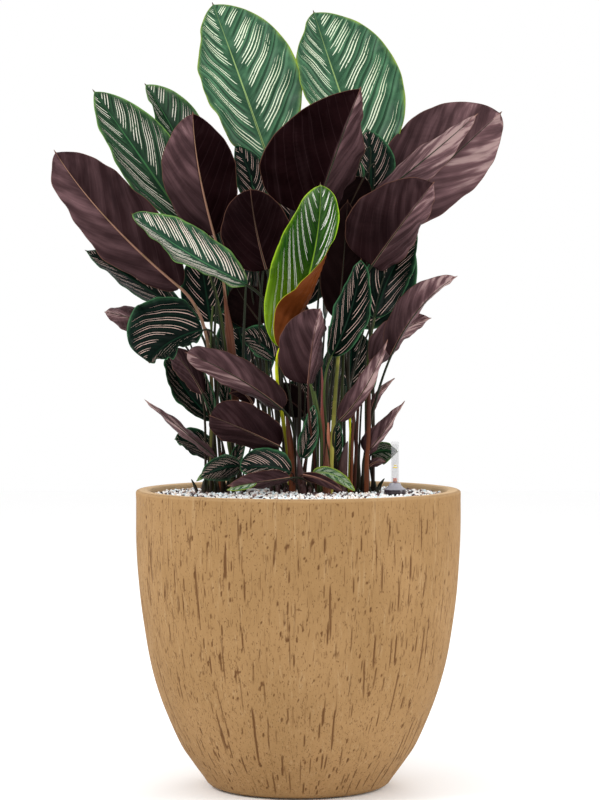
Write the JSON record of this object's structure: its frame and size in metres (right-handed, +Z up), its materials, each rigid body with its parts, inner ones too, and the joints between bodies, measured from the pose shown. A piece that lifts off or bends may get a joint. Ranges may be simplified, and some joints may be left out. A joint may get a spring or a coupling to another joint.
{
  "type": "potted calathea",
  "caption": "Calathea with pink-striped dark leaves and purple undersides in a tapered, scratched sand-coloured planter with gravel and a water gauge.",
  "frame": {"origin": "on the planter's axis, in the plane of its underside", "axes": "+Z up along the planter's axis; -Y towards the viewer of the picture; +X to that viewer's right"},
  "size_m": [0.6845, 0.524, 1.1971],
  "materials": {
    "planter_composite": "matt sand-coloured composite with dark vertical scratches and pits, paler rim",
    "clay_balls": "matt fired clay pebbles",
    "potting_soil": "matt dark peat-like soil",
    "gravel": "mixed white, blue-grey, tan and dark stone chips",
    "crown_wood": "matt fibrous leaf bases",
    "gauge_plastic": "matt dark plastic",
    "gauge_collar_plastic": "smoked translucent plastic",
    "gauge_clear": "clear plastic with a plain level mark",
    "gauge_marker": "orange-red plastic",
    "leaf_striped": "satin green blade with cream to pink paired stripes along its side veins, purple underside",
    "leaf_underside": "satin maroon underside with paler veins, green striped upper side",
    "leaf_young": "glossy yellow-green young blade with white stripes and an orange-brown underside",
    "leaf_sheath": "satin red-brown rolled leaves and sheaths"
  },
  "bodies": {
    "planted_pot": {"planter": "planter_composite", "drainage_layer": "clay_balls", "potting_soil": "potting_soil", "gravel_layer": "gravel", "crown_left": "crown_wood", "crown_middle": "crown_wood", "crown_right": "crown_wood", "crown_back": "crown_wood", "gauge_guide_tube": "gauge_plastic", "gauge_collar": "gauge_collar_plastic", "gauge_sight_tube": "gauge_clear", "gauge_cap": "gauge_clear", "leaf_top_left": "leaf_striped", "leaf_top_right": "leaf_striped", "leaf_upper_left_back": "leaf_striped", "leaf_upper_left": "leaf_striped", "leaf_striped_left": "leaf_striped", "leaf_curled_left": "leaf_striped", "leaf_round_left": "leaf_striped", "leaf_behind_left": "leaf_striped", "leaf_low_striped": "leaf_striped", "leaf_small_low_left": "leaf_striped", "leaf_low_round": "leaf_striped", "leaf_striped_right": "leaf_striped", "leaf_small_upper_right": "leaf_striped", "leaf_behind_right": "leaf_striped", "leaf_by_gauge": "leaf_striped", "leaf_small_striped": "leaf_striped", "leaf_back_left": "leaf_striped", "leaf_back_middle": "leaf_striped", "leaf_back_right": "leaf_striped", "leaf_back_low": "leaf_striped", "leaf_back_low_left": "leaf_striped", "leaf_back_low_right": "leaf_striped", "leaf_top_middle": "leaf_underside", "leaf_dark_round": "leaf_underside", "leaf_left_middle": "leaf_underside", "leaf_far_left": "leaf_underside", "leaf_small_left": "leaf_underside", "leaf_low_long": "leaf_underside", "leaf_low_dark": "leaf_underside", "leaf_thin_left": "leaf_underside", "leaf_low_broad": "leaf_underside", "leaf_low_hanging": "leaf_underside", "leaf_lying": "leaf_underside", "leaf_front_middle": "leaf_underside", "leaf_large_right": "leaf_underside", "leaf_folded_right": "leaf_underside", "leaf_middle_right": "leaf_underside", "leaf_right": "leaf_underside", "leaf_right_back": "leaf_underside", "leaf_low_right": "leaf_underside", "leaf_small_right": "leaf_underside", "leaf_low_behind": "leaf_underside", "leaf_shadow_left": "leaf_underside", "leaf_new_bright": "leaf_young", "rolled_leaf_left": "leaf_sheath", "rolled_leaf_middle": "leaf_sheath", "young_shoot": "leaf_sheath"},
    "float": {"gauge_float": "gauge_marker"}
  },
  "joints": [
    {"name": "float_rise", "type": "slide", "parent": "planted_pot", "child": "float", "axis": [0, 0, 1], "range_m": [0, 0.035]}
  ]
}
